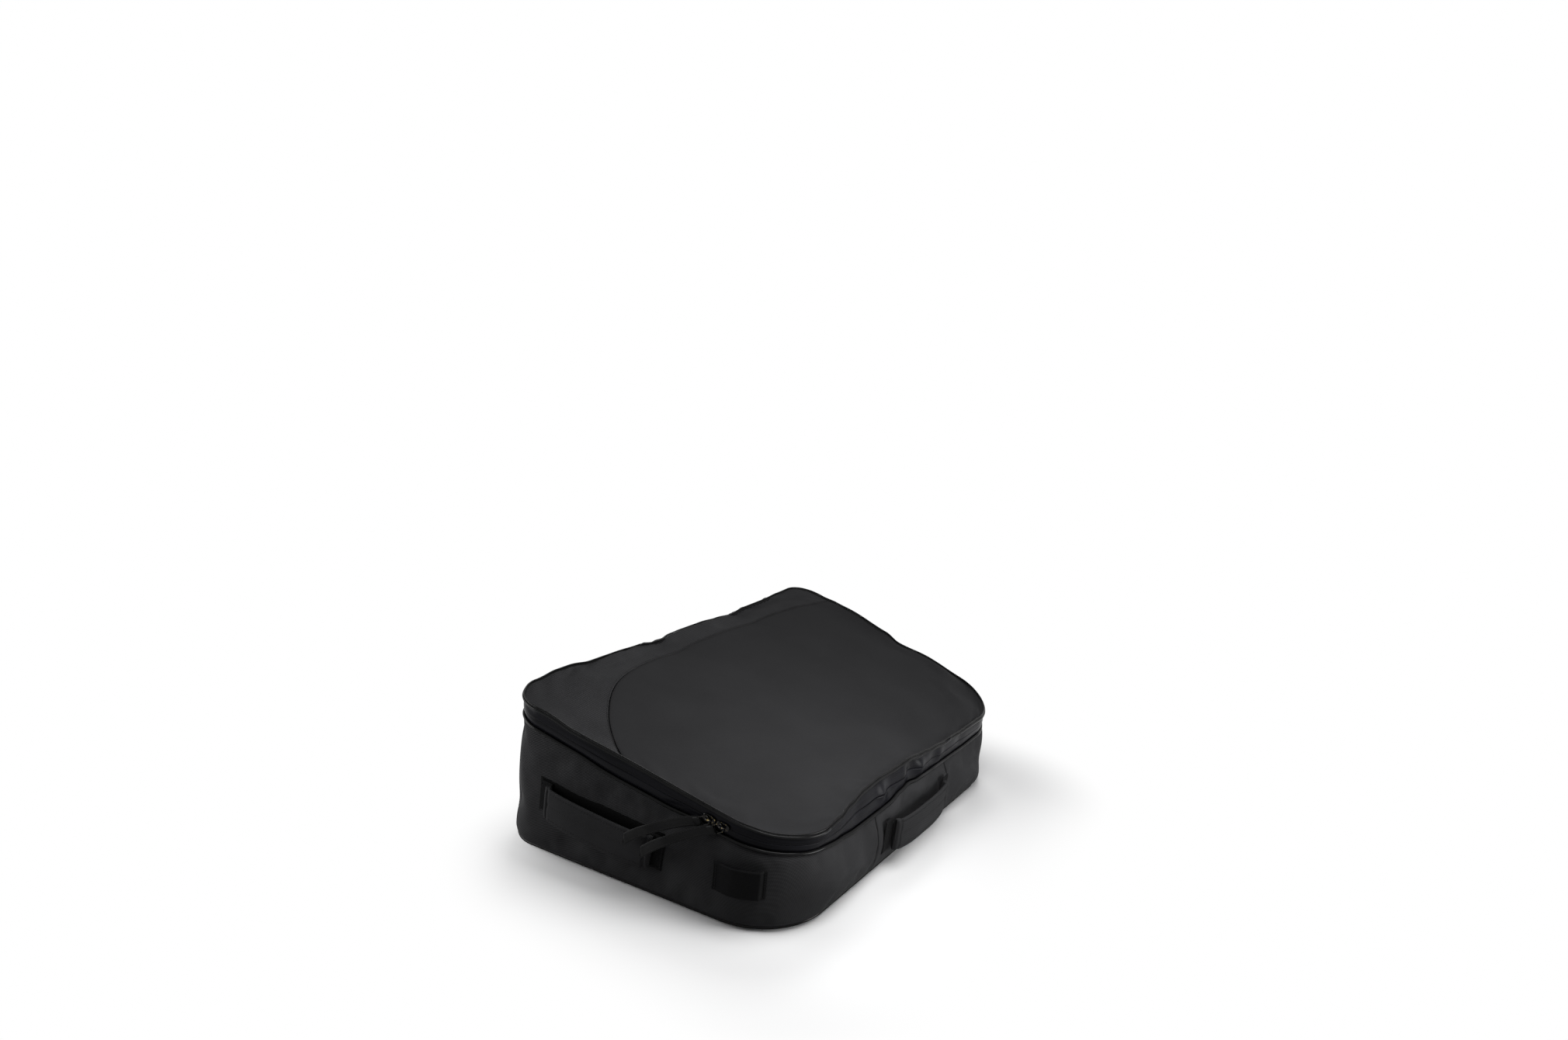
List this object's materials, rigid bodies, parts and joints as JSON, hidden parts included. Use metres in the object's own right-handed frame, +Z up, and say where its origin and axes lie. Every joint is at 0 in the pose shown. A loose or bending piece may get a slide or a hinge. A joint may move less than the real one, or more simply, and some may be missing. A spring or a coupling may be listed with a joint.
{
  "type": "roof box bag",
  "caption": "Wedge-shaped soft luggage bag for a car roof box, with a zip-round lift-up lid on a fabric hinge, padded carry handles on both sides and the nose, and a webbing loop.",
  "frame": {"origin": "centre of the bag's footprint on the ground, under the middle of its outer box", "axes": "+Z up, -Y towards the low nose with the short handle, +Y towards the tall rear with the lid's fabric hinge, +X across the bag"},
  "size_m": [0.7408, 0.4648, 0.2145],
  "materials": {
    "lid_fabric": "matt coated polyester",
    "wall_fabric": "fine twill polyester over foam",
    "handle_fabric": "padded coated polyester",
    "piping": "semi-gloss coated piping",
    "zip_tape": "water-repellent zip tape",
    "zip_coil": "nylon coil",
    "webbing": "woven webbing",
    "slider_metal": "black lacquer"
  },
  "bodies": {
    "tub": {"bottom_panel": "wall_fabric", "bottom_piping": "piping", "hinge_strip_wall": "wall_fabric", "left_handle_grip": "handle_fabric", "left_handle_patch_1": "webbing", "left_handle_patch_2": "webbing", "right_handle_grip": "handle_fabric", "right_handle_patch_1": "webbing", "right_handle_patch_2": "webbing", "nose_handle_grip": "handle_fabric", "nose_handle_patch_1": "webbing", "nose_handle_patch_2": "webbing", "left_side_panel": "wall_fabric", "right_side_panel": "wall_fabric", "nose_panel": "wall_fabric", "rear_panel": "wall_fabric", "nose_left_binding": "webbing", "nose_right_binding": "webbing", "rear_left_binding": "webbing", "rear_right_binding": "webbing", "wall_top_piping": "piping", "webbing_loop": "webbing", "zip_coil_lower": "zip_coil", "zip_tape_lower": "zip_tape"},
    "lid": {"lid_front_panel": "lid_fabric", "lid_rear_panel": "wall_fabric", "lid_piping": "piping", "zip_tape_upper": "zip_tape", "zip_coil_upper": "zip_coil", "hinge_strip_lid": "wall_fabric"},
    "slider_a": {"zip_slider_a": "slider_metal"},
    "slider_b": {"zip_slider_b": "slider_metal"},
    "pull_a": {"zip_bail_a": "slider_metal", "pull_strap_a": "webbing"},
    "pull_b": {"zip_bail_b": "slider_metal", "pull_strap_b": "webbing"}
  },
  "joints": [
    {"name": "lid_hinge", "type": "hinge", "parent": "tub", "child": "lid", "pos_m": [0, 0.2191, 0.20017], "axis": [-1, 0, 0], "range_deg": [0, 120]},
    {"name": "slider_a_slide", "type": "slide", "parent": "tub", "child": "slider_a", "axis": [-0.0931, 0.9768, 0.1931], "range_m": [0, 0.245]},
    {"name": "slider_b_turn", "type": "hinge", "parent": "tub", "child": "slider_b", "pos_m": [-0.22755, -0.10621, 0.13587], "axis": [0, -0.1939, 0.981], "range_deg": [0, 38]},
    {"name": "pull_a_swing", "type": "hinge", "parent": "slider_a", "child": "pull_a", "pos_m": [-0.32919, -0.09041, 0.13906], "axis": [-0.0479, 0.5033, 0.8628], "range_deg": [0, 90]},
    {"name": "pull_b_swing", "type": "hinge", "parent": "slider_b", "child": "pull_b", "pos_m": [-0.32738, -0.10946, 0.13529], "axis": [-0.0535, 0.5619, 0.8254], "range_deg": [0, 90]}
  ]
}
